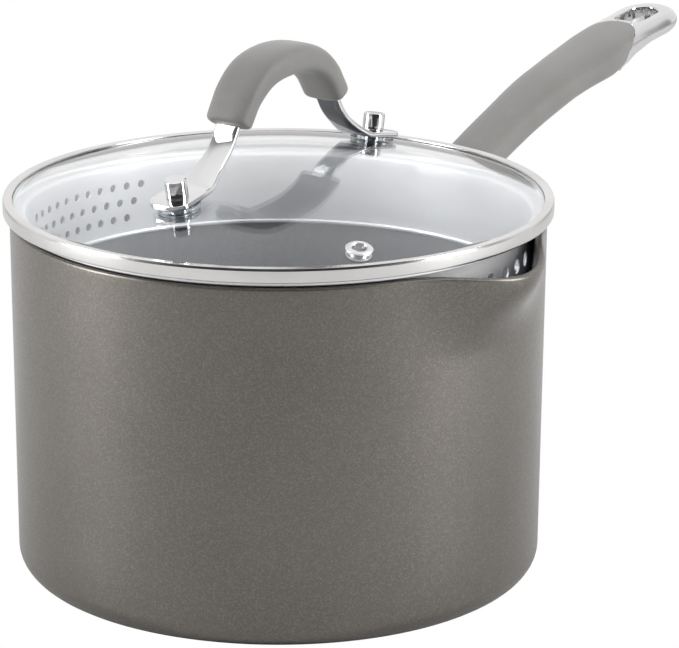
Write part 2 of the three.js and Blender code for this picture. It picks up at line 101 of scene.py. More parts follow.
FLANGE_Z = 104
FLANGE_THICK = 3.5
FLANGE_CORNER = 9
PAN_RIVET_ANGLE = math.radians(8)
PAN_RIVET_R = 3.2
PAN_RIVET_HEAD_R = 5.5

# Lid
GLASS_EDGE_R = 91.4
GLASS_EDGE_TOP_Z = 128.5
GLASS_EDGE_BOTTOM_Z = 125.5
DOME_R = 294.5
DOME_APEX_Z = 142.4
GLASS_THICK = 3.2
RING_R = 92.5
RING_TOP_Z = 129.5
RING_BOTTOM_Z = 124.6
BAND_R = 85
BAND_SHEET = 0.6
BAND_BOTTOM_Z = 96.6
BAND_REST_Z = 122.75
BAND_COLLAR_R = 88.8
FINE_ROWS = [(115, 11), (109.1, 10), (103.3, 9)]
FINE_HOLE_R = 1.4
FINE_MIDDLE = math.radians(92.3)
FINE_PITCH = math.radians(4.2)
COARSE_ROWS = [(113.4, 7), (105, 6)]
COARSE_HOLE_R = 2.5
COARSE_MIDDLE = math.radians(-90)
COARSE_PITCH = math.radians(6.6)
VENT_R = 80
VENT_ANGLE = math.radians(-125.4)
VENT_HOLE_R = 2.4
VENT_FLANGE_R = 4.7

# Lid handle
STUD_ARC_R = 55
STUD_TILT = math.asin(STUD_ARC_R / DOME_R)
SPACER_R = 7.5
SPACER_THICK = 1.4
STRAP_THICK = 1.8
STRAP_FOOT_HALF_W = 7.4
STRAP_LEG_HALF_W = 4.6
STRAP_TIP_PAST_STUD = 8.3
STRAP_FOOT_CORNER = 5
STRAP_EDGE = 0.45
ARCH_LINE = [(38, 146.4), (31.8, 152), (27.2, 159.5), (22, 167.6), (13, 173.8)]
ARCH_APEX_Z = 175.8
SLEEVE_REACH_X = 31
SLEEVE_BOTTOM_Z = 158.2
SLEEVE_HALF_W = 9
SLEEVE_HALF_T = 5.2
SLEEVE_TAPER = 1.4
SLEEVE_FLARE = 1.0  # how much fuller its inner side is near each end
SLEEVE_EDGE = 1.5
STUD_HEAD_R = 3.7
STUD_HEAD_H = 5.9
STUD_SHANK_R = 2.4
UNDER_WASHER_R = 7
UNDER_WASHER_THICK = 1.4
STUD_TAIL_R = 4
STUD_TAIL_H = 1.6


# Small maths

def lerp(a, b, t):
    return a + (b - a) * t


def smoothstep(x, low, high):
    t = min(max((x - low) / (high - low), 0), 1)
    return t * t * (3 - 2 * t)


def squared(value, power):
    return math.copysign(abs(value) ** power, value)


def read_at(table, x):
    """Reads a table of (x, value) rows at x, easing from each row to the next."""
    if x <= table[0][0]:
        return table[0][1]
    for (low_x, low), (high_x, high) in zip(table, table[1:]):
        if x <= high_x:
            return lerp(low, high, smoothstep(x, low_x, high_x))
    return table[-1][1]


def catmull_rom(points, per_span=40):
    """A smooth polyline through 2-D points."""
    p = np.array([points[0], *points, points[-1]], float)
    t = np.arange(per_span)[:, None] / per_span
    spans = []
    for a, b, c, d in zip(p, p[1:], p[2:], p[3:]):
        slope_b, slope_c = (c - a) / 2, (d - b) / 2
        cubic = 2 * b - 2 * c + slope_b + slope_c
        square = -3 * b + 3 * c - 2 * slope_b - slope_c
        spans.append(cubic * t**3 + square * t**2 + slope_b * t + b)
    return np.vstack([*spans, p[-1:]])


class Line:
    """A side-view line of (x, z) points, read by its length."""

    def __init__(self, points):
        self.points = np.array(points, float)
        steps = np.hypot(*np.diff(self.points, axis=0).T)
        self.along = np.concatenate([[0], np.cumsum(steps)])
        self.length = self.along[-1]

    def at(self, distance):
        x, z = (np.interp(distance, self.along, self.points[:, i]) for i in (0, 1))
        near = np.clip([distance - 0.4, distance + 0.4], 0, self.length)
        (x0, x1), (z0, z1) = (np.interp(near, self.along, self.points[:, i]) for i in (0, 1))
        return x, z, math.atan2(z1 - z0, x1 - x0)


def rounded(corners, steps=6):
    """A closed outline of (r, z, radius) corners, with each corner turned into an arc."""
    outline = []
    for i, (r, z, radius) in enumerate(corners):
        here = np.array([r, z], float)
        if not radius:
            outline.append(tuple(here))
            continue
        back = np.array(corners[i - 1][:2], float) - here
        ahead = np.array(corners[(i + 1) % len(corners)][:2], float) - here
        back, ahead = back / np.linalg.norm(back), ahead / np.linalg.norm(ahead)
        half = math.acos(np.clip(back @ ahead, -1, 1)) / 2
        middle = (back + ahead) / np.linalg.norm(back + ahead)
        centre = here + middle * radius / math.sin(half)
        start = here + back * radius / math.tan(half) - centre
        end = here + ahead * radius / math.tan(half) - centre
        turn = math.atan2(start[0] * end[1] - start[1] * end[0], start @ end)
        for k in range(steps + 1):
            angle = turn * k / steps
            c, s = math.cos(angle), math.sin(angle)
            outline.append(tuple(centre + [c * start[0] - s * start[1], s * start[0] + c * start[1]]))
    return outline


def divided(outline, longest, keep=lambda r, z: True):
    """The closed outline with each edge cut to at most the given length, where keep allows a point."""
    made = []
    for (r0, z0), (r1, z1) in zip(outline, outline[1:] + outline[:1]):
        cuts = math.ceil(math.hypot(r1 - r0, z1 - z0) / longest)
        if r0 < POLE_R and r1 < POLE_R:
            cuts = 1
        made.append((r0, z0))
        for k in range(1, cuts):
            point = (lerp(r0, r1, k / cuts), lerp(z0, z1, k / cuts))
            if keep(*point):
                made.append(point)
    return made


# Meshes

class Form:
    """Vertices in millimetres and faces, joined up from several closed surfaces."""

    def __init__(self):
        self.verts = []
        self.faces = []
        self.parts = []

    def add(self, verts, faces, part=0):
        start = len(self.verts)
        self.verts += [tuple(v) for v in verts]
        self.faces += [tuple(start + i for i in f) for f in faces]
        self.parts += [part] * len(faces)
        return self

    def placed(self, place):
        self.verts = [tuple(place(Vector(v))) for v in self.verts]
        return self


def spun(outline, angles=96, warp=None):
    """A closed (r, z) outline spun about Z. Points at r = 0 are poles."""
    if isinstance(angles, int):
        angles = [TAU * k / angles for k in range(angles)]
    verts, rings = [], []
    for r, z in outline:
        start = len(verts)
        if r < POLE_R:
            verts.append((0, 0, z))
            rings.append([start] * len(angles))
            continue
        for angle in angles:
            verts.append((r * math.cos(angle), r * math.sin(angle), z))
        rings.append(list(range(start, len(verts))))
    if warp:
        verts = [warp(*v) for v in verts]
    faces = []
    for low, high in zip(rings, rings[1:] + rings[:1]):
        for k in range(len(angles)):
            n = (k + 1) % len(angles)
            corners = dict.fromkeys((low[k], low[n], high[n], high[k]))
            if len(corners) > 2:
                faces.append(tuple(corners))
    return Form().add(verts, faces)


def lofted(rings):
    """A closed surface through rings of points, with a flat face at each end."""
    n = len(rings[0])
    verts = [p for ring in rings for p in ring]
    faces = [tuple(range(n))[::-1], tuple(range(len(verts) - n, len(verts)))]
    for i in range(len(rings) - 1):
        for k in range(n):
            m = (k + 1) % n
            faces.append((i * n + k, i * n + m, (i + 1) * n + m, (i + 1) * n + k))
    return Form().add(verts, faces)


def wound(sections):
    """A closed surface with a hole through it, from closed sections in a ring."""
    n = len(sections[0])
    verts = [p for section in sections for p in section]
    faces = []
    for i in range(len(sections)):
        j = (i + 1) % len(sections)
        for k in range(n):
            m = (k + 1) % n
            faces.append((i * n + k, i * n + m, j * n + m, j * n + k))
    return Form().add(verts, faces)


def turned(angle):
    return lambda v: Matrix.Rotation(angle, 3, "Z") @ v


def on_dome(distance, angle):
    """Places a form that stands on the XY plane on the lid's dome, along the dome's normal."""
    tilt = Matrix.Rotation(math.asin(distance / DOME_R), 3, "Y")
    spin = Matrix.Rotation(angle + LID_TURN, 3, "Z")
    return lambda v: spin @ (tilt @ (v + Vector((0, 0, DOME_R))) + Vector((0, 0, DOME_APEX_Z - DOME_R)))


def mesh_object(name, form):
    mesh = bpy.data.meshes.new(name)
    mesh.from_pydata([tuple(c * MM for c in v) for v in form.verts], [], form.faces)
    mesh.polygons.foreach_set("material_index", form.parts)
    work = bmesh.new()
    work.from_mesh(mesh)
    bmesh.ops.remove_doubles(work, verts=work.verts, dist=1e-6)
    bmesh.ops.recalc_face_normals(work, faces=work.faces)
    work.to_mesh(mesh)
    work.free()
    made = bpy.data.objects.new(name, mesh)
    bpy.context.scene.collection.objects.link(made)
    return made


def combine(target, other, operation):
    """Joins other to target, or cuts it out of target, and removes it."""
    modifier = target.modifiers.new("combine", "BOOLEAN")
    modifier.operation = operation
    modifier.solver = "EXACT"
    modifier.object = other
    graph = bpy.context.evaluated_depsgraph_get()
    target.data = bpy.data.meshes.new_from_object(target.evaluated_get(graph))
    target.modifiers.clear()
    bpy.data.objects.remove(other)


def piece(made, body, nodes, slot, *materials, sharp=35):
    """Finishes a mesh object as a piece of the saucepan."""
    made.data.shade_smooth()
    made.data.set_sharp_from_angle(angle=math.radians(sharp))
    parts = np.zeros(len(made.data.polygons), np.int32)
    made.data.polygons.foreach_get("material_index", parts)
    made.data.materials.clear()
    for material in materials:
        made.data.materials.append(material)
    made.data.polygons.foreach_set("material_index", parts)
    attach(made, body)
    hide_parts(*nodes)
    return made


# Materials

class Surface:
    """A node material with a Principled shader and short calls for procedural detail."""

    def __init__(self, name, **values):
        """Values are set on the shader itself."""
        self.material = bpy.data.materials.new(name)
        self.material.use_nodes = True
        self.tree = self.material.node_tree
        self.shader = self.tree.nodes["Principled BSDF"]
        for key, value in values.items():
            self.shader.inputs[key.replace("_", " ")].default_value = value
        self.place = self.node("ShaderNodeTexCoord").outputs["Object"]

    def node(self, kind, **settings):
        made = self.tree.nodes.new(kind)
        for key, value in settings.items():
            setattr(made, key, value)
        return made

    def feed(self, node, **inputs):
        """Sets or links a node's inputs: Base_Color is the one named Base Color, _0 the first."""
        for key, value in inputs.items():
            by_number = key[1:].isdigit()
            socket = node.inputs[int(key[1:]) if by_number else key.replace("_", " ")]
            if isinstance(value, bpy.types.NodeSocket):
                self.tree.links.new(value, socket)
            else:
                socket.default_value = value
        return node

    def stretched(self, scale):
        return self.feed(self.node("ShaderNodeMapping"), Vector=self.place, Scale=scale).outputs[0]

    def noise(self, scale, detail=2, roughness=0.5, place=None):
        made = self.node("ShaderNodeTexNoise")
        self.feed(made, Vector=place or self.place, Scale=scale, Detail=detail, Roughness=roughness)
        return made.outputs["Fac"]

    def cells(self, scale):
        made = self.node("ShaderNodeTexVoronoi")
        self.feed(made, Vector=self.place, Scale=scale)
        return made.outputs["Color"]

    def spread(self, value, low, high, from_low=0.35, from_high=0.65):
        made = self.node("ShaderNodeMapRange")
        self.feed(made, Value=value, From_Min=from_low, From_Max=from_high, To_Min=low, To_Max=high)
        return made.outputs["Result"]

    def blend(self, share, first, second):
        made = self.node("ShaderNodeMix", data_type="RGBA")
        self.feed(made, _0=share, _6=first, _7=second)
        return made.outputs[2]

    def bump(self, height, strength, distance, below=None):
        made = self.node("ShaderNodeBump")
        self.feed(made, Height=height, Strength=strength, Distance=distance)
        if below:
            self.feed(made, Normal=below)
        return made.outputs["Normal"]

    def set(self, **inputs):
        self.feed(self.shader, **inputs)
        return self


def round_brushing(surface, scale):
    """Fine lines that run round the Z axis: noise read by height and distance from the axis."""
    split = surface.feed(surface.node("ShaderNodeSeparateXYZ"), Vector=surface.place)
    across = surface.node("ShaderNodeMath", operation="MULTIPLY")
    surface.feed(across, _0=split.outputs["X"], _1=0.02)
    along = surface.node("ShaderNodeMath", operation="MULTIPLY")
    surface.feed(along, _0=split.outputs["Y"], _1=0.02)
    flat = surface.node("ShaderNodeCombineXYZ")
    surface.feed(flat, X=across.outputs[0], Y=along.outputs[0], Z=split.outputs["Z"])
    return surface.noise(scale, 3, 0.6, flat.outputs[0])


def flaked_paint():
    """The outside: warm grey metallic coating over metal, with a fine flake."""
    s = Surface("pot_coating", Metallic=0.85, Coat_Weight=0.35, Coat_Roughness=0.12)
    flake = s.feed(s.node("ShaderNodeSeparateColor"), Color=s.cells(2400)).outputs[0]
    cloud = s.noise(22, 3)
    mottle = s.noise(1900, 2, 0.6)
    tint = s.blend(s.spread(cloud, 0, 1), (0.150, 0.138, 0.124, 1), (0.166, 0.153, 0.138, 1))
    glint = s.blend(s.spread(flake, 0, 0.3, 0.55, 1), tint, (0.34, 0.32, 0.28, 1))
    deep = s.blend(s.spread(mottle, 0, 0.3, 0.5, 0.7), glint, (0.095, 0.088, 0.078, 1))
    relief = s.bump(mottle, 0.1, 0.0002, s.bump(flake, 0.1, 0.0001))
    return s.set(Base_Color=deep, Roughness=s.spread(mottle, 0.32, 0.4), Normal=relief).material


def dark_lining():
    """The inside: dark non-stick coating with a faint sparkle."""
    s = Surface("pot_lining", Metallic=0.1)
    speck = s.feed(s.node("ShaderNodeSeparateColor"), Color=s.cells(1300)).outputs[1]
    grain = s.noise(900, 2)
    tint = s.blend(s.spread(speck, 0, 1, 0.8, 1), (0.155, 0.158, 0.174, 1), (0.21, 0.21, 0.228, 1))
    rough = s.spread(s.noise(40, 3), 0.48, 0.58)
    return s.set(Base_Color=tint, Roughness=rough, Normal=s.bump(grain, 0.12, 0.0003)).material


def polished_steel(name, low=0.05, high=0.13):
    s = Surface(name, Metallic=1.0)
    swirl = s.noise(160, 4, 0.7, s.stretched((1, 3, 1)))
    tint = s.blend(s.spread(s.noise(30, 2), 0, 1), (0.72, 0.715, 0.72, 1), (0.80, 0.795, 0.80, 1))
    rough = s.spread(swirl, low, high)
    return s.set(Base_Color=tint, Roughness=rough, Normal=s.bump(swirl, 0.03, 0.0002)).material


def spun_steel(name, low, high, tint_low, tint_high, depth, shine=1.0):
    """Steel with fine lines round the lid's axis."""
    s = Surface(name, Metallic=shine)
    lines = round_brushing(s, 2600)
    tint = s.blend(s.spread(s.noise(35, 3), 0, 1), (*tint_low, 1), (*tint_high, 1))
    return s.set(
        Base_Color=tint, Roughness=s.spread(lines, low, high), Normal=s.bump(lines, depth, 0.0002),
    ).material


def soft_silicone():
    """Matte warm grey silicone with a moulded grain, and a little dust-pale toward its highs."""
    s = Surface("silicone", Specular_IOR_Level=0.35, Sheen_Weight=0.25, Sheen_Roughness=0.5)
    grain = s.noise(1400, 3, 0.6)
    cloud = s.noise(60, 4, 0.55)
    tint = s.blend(s.spread(cloud, 0, 1), (0.190, 0.184, 0.176, 1), (0.215, 0.210, 0.202, 1))
    fine = s.blend(s.spread(grain, 0, 0.35), tint, (0.160, 0.155, 0.147, 1))
    relief = s.bump(grain, 0.14, 0.0003, s.bump(cloud, 0.06, 0.0006))
    return s.set(Base_Color=fine, Roughness=s.spread(cloud, 0.5, 0.62), Normal=relief).material


def clear_glass(name, tint, roughness, wave):
    """Glass that lets lamp light straight through, so what is behind it is lit."""
    s = Surface(name, Transmission_Weight=1.0, IOR=1.5, Roughness=roughness)
    ripple = s.noise(wave, 2)
    s.set(Base_Color=s.blend(s.spread(ripple, 0, 1), (*tint, 1), (*(min(c * 1.02, 1) for c in tint), 1)))
    s.set(Normal=s.bump(ripple, 0.02, 0.0004))
    through = s.feed(s.node("ShaderNodeBsdfTransparent"), Color=(*tint, 1))
    path = s.node("ShaderNodeLightPath")
    mix = s.feed(s.node("ShaderNodeMixShader"), _0=path.outputs["Is Shadow Ray"])
    s.feed(mix, _1=s.shader.outputs[0], _2=through.outputs[0])
    s.feed(s.tree.nodes["Material Output"], Surface=mix.outputs[0])
    return s.material


# Pot

def spout_warp(x, y, z):
    """Draws the wall out into the two spouts, and dips the rim a little there."""
    from_axis = abs(math.atan2(x, abs(y))) / SPOUT_HALF_ANGLE
    share = math.cos(from_axis * math.pi / 2) ** SPOUT_SHARPNESS if from_axis < 1 else 0
    rise = smoothstep(z, SPOUT_START_Z, POT_RIM_Z)
    stretch = 1 + SPOUT_OUT * share * rise / max(math.hypot(x, y), 1)
    return x * stretch, y * stretch, z - SPOUT_DROP * share * rise * rise


def pot_shell():
    outline = rounded([
        (0, 0, 0),
        (POT_FOOT_R, 0, POT_CORNER_R),
        (POT_RIM_R, POT_RIM_Z, 0.9),
        (POT_RIM_R - POT_WALL, POT_RIM_Z, 0.9),
        (POT_FOOT_R - POT_WALL, POT_FLOOR, POT_INNER_CORNER_R),
        (0, POT_FLOOR, 0),
    ], 10)
    outline = divided(outline, 1.4, lambda r, z: z > SPOUT_START_Z - 2)
    outline = divided(outline, 14)
    form = spun(outline, 288, spout_warp)
    form.parts = [int(is_lining(form, face)) for face in form.faces]
    made = mesh_object("pot", form)
    return piece(made, "pan", ["pot_shell"], "body", coating, lining)


def is_lining(form, face):
    """True on the inner wall and floor. Most of a spout's push is taken off the distance first."""
    x, y, z = np.mean([form.verts[i] for i in face], axis=0)
    pushed = spout_warp(x, y, z)
    push = math.hypot(*pushed[:2]) - math.hypot(x, y)
    inner = POT_RIM_R - POT_WALL + 0.4
    return z > POT_FLOOR - 0.01 and math.hypot(x, y) - push * 0.9 < inner


# Pan handle

handle_top = Line(catmull_rom(HANDLE_TOP))


def top_at(x):
    """Height and slope of the handle's top."""
    distance = np.interp(x, handle_top.points[:, 0], handle_top.along)
    return handle_top.at(distance)[1:]


def below_top(x, depth):
    """The (x, z) point at a depth under the handle's top, square to it."""
    z, slope = top_at(x)
    return x + math.sin(slope) * depth, z - math.cos(slope) * depth


def half_width(x):
    from_tip = max(0, 1 - (HANDLE_TIP_X - x) / TIP_ROUND)
    return read_at(HANDLE_HALF_W, x) * math.sqrt(max(0, 1 - from_tip**2))


def grip_front(y, down):
    """X where the grip ends, at y across and at a share down from the top to the underside."""
    tongue = math.sqrt(max(0, 1 - (y / GRIP_FRONT_HALF_W) ** 2))
    reach = GRIP_FRONT_REACH * tongue * (1 - GRIP_FRONT_FADE * down)
    return GRIP_FRONT_X + reach - GRIP_FRONT_LEAN * down


def handle_grip():
    """Rounded sections from the pot's end to the curved front, with a rounded edge at both."""
    sides = 72
    rows = 70
    front_half_w = half_width(205)
    rings = []
    stops = [(s, 0) for s in np.linspace(0, 1, rows)]
    starts = [(0, a) for a in np.linspace(math.pi / 2, 0, 7)[:-1]]
    ends = [(1, a) for a in np.linspace(0, math.pi / 2, 7)[1:]]
    for share, turn in [*starts, *stops, *ends]:
        ring = []
        inset = GRIP_EDGE * (1 - math.cos(turn))
        shift = math.copysign(GRIP_EDGE * math.sin(turn), share - 0.5)
        power = lerp(0.78, 0.6, smoothstep(share, 0.75, 1))
        for k in range(sides):
            angle = TAU * k / sides
            across = squared(math.cos(angle), power)
            up = squared(math.sin(angle), power)
            front = grip_front(across * front_half_w, (1 - up) / 2)
            x = lerp(HANDLE_START_X + GRIP_EDGE, front, share)
            depth = read_at(HANDLE_DEPTH, x) / 2
            middle_x, middle_z = below_top(x, depth)
            slope = top_at(x)[1]
            wide = across * (half_width(x) + 0.25 - inset)
            tall = up * (depth + 0.15 - inset)
            ring.append((
                middle_x - tall * math.sin(slope) + shift * math.cos(slope),
                -wide,
                middle_z + tall * math.cos(slope) + shift * math.sin(slope),
            ))
        rings.append(ring)
    rings.append(tucked(rings[-1], 0.8, -6))
    made = mesh_object("pan_handle_grip", lofted(rings))
    return piece(made, "pan", ["handle_grip"], "silicone", silicone, sharp=60)


def tucked(ring, shrink, along):
    """The ring drawn in towards its centre and moved along X, for an end that turns inside."""
    centre = np.mean(ring, axis=0)
    return [tuple(centre + (np.array(p) - centre) * shrink + (along, 0, 0)) for p in ring]


def steel_outline():
    """Plan of the handle's steel end, as a closed list of (x, y)."""
    back = GRIP_FRONT_X - 12
    tip_start = HANDLE_TIP_X - TIP_ROUND
    side = [(x, half_width(x)) for x in np.linspace(back, tip_start, 24)]
    for turn in np.linspace(0, math.pi / 2, 25)[1:]:
        x = tip_start + TIP_ROUND * math.sin(turn)
        side.append((x, read_at(HANDLE_HALF_W, x) * math.cos(turn)))
    mirrored = [(x, -y) for x, y in reversed(side[:-1])]
    end = [(back, y) for y in np.linspace(-side[0][1], side[0][1], 12)[1:-1]]
    return side + mirrored + end


def hole_outline():
    """Plan of the hanging hole: square corners by the grip, round by the tip."""
    def arc(x, y, radius, start, end, count):
        angles = np.linspace(start, end, count)
        return [(x + radius * math.cos(a), y + radius * math.sin(a)) for a in angles]
    low = HOLE_CORNER - HOLE_R
    return [
        *arc(HOLE_X, 0, HOLE_R, -math.pi / 2, math.pi / 2, 40),
        *arc(HOLE_BASE_X + HOLE_CORNER, -low, HOLE_CORNER, math.pi / 2, math.pi, 10),
        *arc(HOLE_BASE_X + HOLE_CORNER, low, HOLE_CORNER, math.pi, 1.5 * math.pi, 10),
    ]


def hit(outline, centre, angle):
    """Where a ray from centre meets the outline."""
    direction = np.array([math.cos(angle), math.sin(angle)])
    best = None
    for a, b in zip(outline, outline[1:] + outline[:1]):
        a, edge = np.array(a) - centre, np.array(b) - np.array(a)
        cross = direction[0] * edge[1] - direction[1] * edge[0]
        if abs(cross) < 1e-12:
            continue
        far = (a[0] * edge[1] - a[1] * edge[0]) / cross
        share = (a[0] * direction[1] - a[1] * direction[0]) / cross
        if far > 0 and -1e-9 <= share <= 1 + 1e-9:
            best = far if best is None else max(best, far)
    return np.array(centre) + direction * best


def steel_end():
    """The flat steel end with its hole: sections laid out along rays from the hole's middle."""
    outline, hole = steel_outline(), hole_outline()
    centre = np.array([(HOLE_BASE_X + HOLE_X) / 2, 0])
    angles = sorted(
        math.atan2(y - centre[1], x - centre[0])
        for x, y in [*divided(outline, 1.2), *divided(hole, 0.8)]
    )
    least_turn = 0.004
    angles = [a for i, a in enumerate(angles) if i == 0 or a - angles[i - 1] > least_turn]
    sections = []
    for angle in angles:
        inner, outer = hit(hole, centre, angle), hit(outline, centre, angle)
        sections.append(steel_section(inner, outer))
    return wound(sections)


def steel_section(inner, outer):
    """One closed section of the steel end, from the hole's wall out to the rim and back."""
    reach = np.linalg.norm(outer - inner)
    shoulder = min(EDGE_SPREAD, reach - HOLE_LIP - 0.4)
    flat = reach - HOLE_LIP - shoulder
    lip_turns = np.linspace(math.pi / 2, 0, 6)
    upper = [(HOLE_LIP * (1 - math.sin(a)), 0, HOLE_LIP * (1 - math.cos(a))) for a in lip_turns]
    upper += [(HOLE_LIP + flat * s, 0, 0) for s in (0.25, 0.5, 0.75)]
    for turn in np.linspace(0, math.pi / 2, 12):
        along = reach - shoulder * (1 - math.sin(turn) ** 0.9)
        upper.append((along, 0.5 * (1 - math.cos(turn) ** 0.9), 0))
    lower = [(along, 1 - share, -extra) for along, share, extra in reversed(upper[:-1])]
    section = []
    for along, share, extra in upper + lower:
        x, y = inner + (outer - inner) * (along / reach)
        thick = read_at(HANDLE_DEPTH, x)
        depth = thick * share + extra
        tuck = 1 - smoothstep(x - grip_front(y, depth / thick), -1.4, 0.1)
        depth = lerp(depth, thick / 2, 0.5 * tuck)
        px, pz = below_top(x, depth + crown(x, y, depth / thick))
        section.append((px, y * (1 - 0.3 * tuck), pz))
    return section


def crown(x, y, share_down):
    """How far the steel end's top and underside fall away from the middle toward its sides."""
    to_side = min(abs(y) / half_width(min(x, HANDLE_TIP_X - TIP_ROUND)), 1)
    return STEEL_CROWN * to_side**2.4 * (1 - 2 * share_down)


def bar_section(w, t, edge, steps):
    """A rectangle of half width w and half thickness t with rounded corners."""
    return rounded([(w, -t, edge), (w, t, edge), (-w, t, edge), (-w, -t, edge)], steps)


def bar_along_top(from_x, to_x, depth_at, half_w_at, thick_at, steps=30):
    """A flat bar with rounded edges at a depth under the handle's top line."""
    rings = []
    for x in np.linspace(from_x, to_x, steps):
        mx, mz = below_top(x, depth_at(x))
        slope = top_at(x)[1]
        half_thick = thick_at(x) / 2
        section = bar_section(half_w_at(x), half_thick, min(1.2, half_thick * 0.9), 5)
        rings.append([
            (mx - up * math.sin(slope), across, mz + up * math.cos(slope)) for across, up in section
        ])
    return lofted(rings)


def flange():
    """A plate curved to the pot's wall, with rounded corners and edges."""
    inner = POT_RIM_R + SEAT
    half_w, half_h = FLANGE_W / 2, FLANGE_H / 2
    corners = [
        (half_w, -half_h, FLANGE_CORNER), (half_w, half_h, FLANGE_CORNER),
        (-half_w, half_h, FLANGE_CORNER), (-half_w, -half_h, FLANGE_CORNER),
    ]
    plan = divided(rounded(corners, 10), 2)
    edge = 1.1
    layers = [(0, 0), (FLANGE_THICK - edge, 0)]
    layers += [
        (FLANGE_THICK - edge + edge * math.sin(a), edge * (1 - math.cos(a)))
        for a in np.linspace(0, math.pi / 2, 6)[1:]
    ]
    layers += [(FLANGE_THICK, edge + step) for step in (2, 4, 6, 8, 10)]
    rings = []
    for height, inset in [(0, 10), (0, 7), (0, 4), (0, 2), *layers]:
        ring = []
        for across, up in plan:
            scale_w = max(half_w - inset, 0.5) / half_w
            scale_h = max(half_h - inset, 0.5) / half_h
            angle = across * scale_w / inner
            r = inner + height
            ring.append((r * math.cos(angle), r * math.sin(angle), FLANGE_Z + up * scale_h))
        rings.append(ring)
    return lofted(rings)


def tang():
    """The flat bar inside the grip. It rises toward the steel end, which it joins."""
    def depth(x):
        return lerp(TANG_DEPTH, TANG_END_DEPTH, smoothstep(x, 182, 210))
    half_w, thick = (lambda x: TANG_HALF_W), (lambda x: TANG_THICK)
    return bar_along_top(TANG_START_X, TANG_END_X, depth, half_w, thick)


def neck():
    """The thicker stretch between the flange and the grip."""
    def slimmed(wide, slim):
        return lambda x: lerp(wide, slim, smoothstep(x, 91, 103))
    half_w, thick = slimmed(9.6, 7.2), slimmed(9, 5)
    return bar_along_top(NECK_START_X, NECK_END_X, lambda x: TANG_DEPTH, half_w, thick, 14)


def handle_core():
    made = mesh_object("pan_handle_steel", steel_end())
    combine(made, mesh_object("tang", tang()), "UNION")
    combine(made, mesh_object("neck", neck()), "UNION")
    combine(made, mesh_object("flange", flange()), "UNION")
    return piece(made, "pan", ["handle_core"], "steel", handle_steel, sharp=40)


def pan_rivet(side, name):
    inner = POT_RIM_R - POT_WALL
    outer = POT_RIM_R + FLANGE_THICK
    head = PAN_RIVET_HEAD_R
    outline = rounded([
        (0, inner - 2.3, 0),
        (head - 1.2, inner - 2.1, 1.6),
        (head, inner - 0.7, 0.3),
        (PAN_RIVET_R, inner - 0.7, 0),
        (PAN_RIVET_R, outer + 0.3, 0),
        (head - 0.8, outer + 0.3, 0.25),
        (head - 1.6, outer + 1.7, 0.9),
        (0, outer + 2, 0),
    ])
    lie = Matrix.Rotation(math.pi / 2, 3, "Y")
    spin = Matrix.Rotation(side * PAN_RIVET_ANGLE, 3, "Z")
    form = spun(divided(outline, 2), 48).placed(lambda v: spin @ (lie @ v + Vector((0, 0, FLANGE_Z))))
    return piece(mesh_object(name, form), "pan", [name], "steel", rivet_steel)


# Lid

def dome_z(r, depth=0):
    return DOME_APEX_Z - DOME_R + math.sqrt((DOME_R - depth) ** 2 - r**2)


def lid_glass():
    """The dome, with a flat edge that has small chamfers."""
    dome_r, under_r, chamfer = 89.4, 88.2, 0.5
    low, high = GLASS_EDGE_BOTTOM_Z, GLASS_EDGE_TOP_Z
    top = [(r, dome_z(r)) for r in np.linspace(dome_r, 0, 44)]
    under = [(r, dome_z(r, GLASS_THICK)) for r in np.linspace(0, under_r, 44)]
    outline = [*under, (GLASS_EDGE_R - chamfer, low), (GLASS_EDGE_R, low + chamfer)]
    outline += [(GLASS_EDGE_R, high - chamfer), (GLASS_EDGE_R - chamfer, high), *top]
    made = mesh_object("glass_dome", spun(outline, 192))
    return piece(made, "lid", ["lid_glass"], "glass", glass, sharp=50)


def rim_ring():
    """The rolled steel ring: outer wall, a steep chamfer, and a lip that holds the glass."""
    inner, lip = 88, 89.3
    outline = rounded([
        (inner, RING_BOTTOM_Z, 0.25),
        (RING_R, RING_BOTTOM_Z, 0.8),
        (RING_R, RING_TOP_Z - 0.85, 0.15),
        (RING_R - 0.27, RING_TOP_Z, 0.12),
        (lip, RING_TOP_Z - 0.05, 0.3),
        (lip, RING_TOP_Z - 0.75, 0.2),
        (RING_R - 2.0, RING_TOP_Z - 1.1, 0.2),
        (RING_R - 0.8, RING_TOP_Z - 1.4, 0.2),
        (RING_R - 0.7, RING_BOTTOM_Z + 0.6, 0.2),
        (inner, RING_BOTTOM_Z + 0.6, 0.2),
    ], 5)
    made = mesh_object("lid_ring", spun(outline, 288))
    return piece(made, "lid_rim", ["rim_ring"], "steel", ring_steel)


def hole_pins(rows, radius, pitch, middle):
    """One form of round pins that point out from the axis, to cut a group of straining holes."""
    pins = Form()
    for z, count in rows:
        for i in range(count):
            angle = middle + (i - (count - 1) / 2) * pitch + LID_TURN
            pin = spun([(0, 0), (radius, 0), (radius, 8), (0, 8)], 28)
            lie = Matrix.Rotation(math.pi / 2, 3, "Y")
            spin = Matrix.Rotation(angle, 3, "Z")
            pin.placed(lambda v, z=z: spin @ (lie @ v + Vector((BAND_R - 4, 0, z))))
            pins.add(pin.verts, pin.faces)
    return pins


def seam_warp(x, y, z):
    """Steps the wall out where the band's sheet laps over itself at the weld."""
    lap, lap_degrees = 0.32, 8
    angle = math.degrees(math.atan2(y, x)) - math.degrees(LID_TURN)
    if z > BAND_REST_Z - 2 or not 0 <= angle < lap_degrees:
        return x, y, z
    out = 1 + lap * (1 - smoothstep(angle, 0, lap_degrees)) / BAND_R
    return x * out, y * out, z


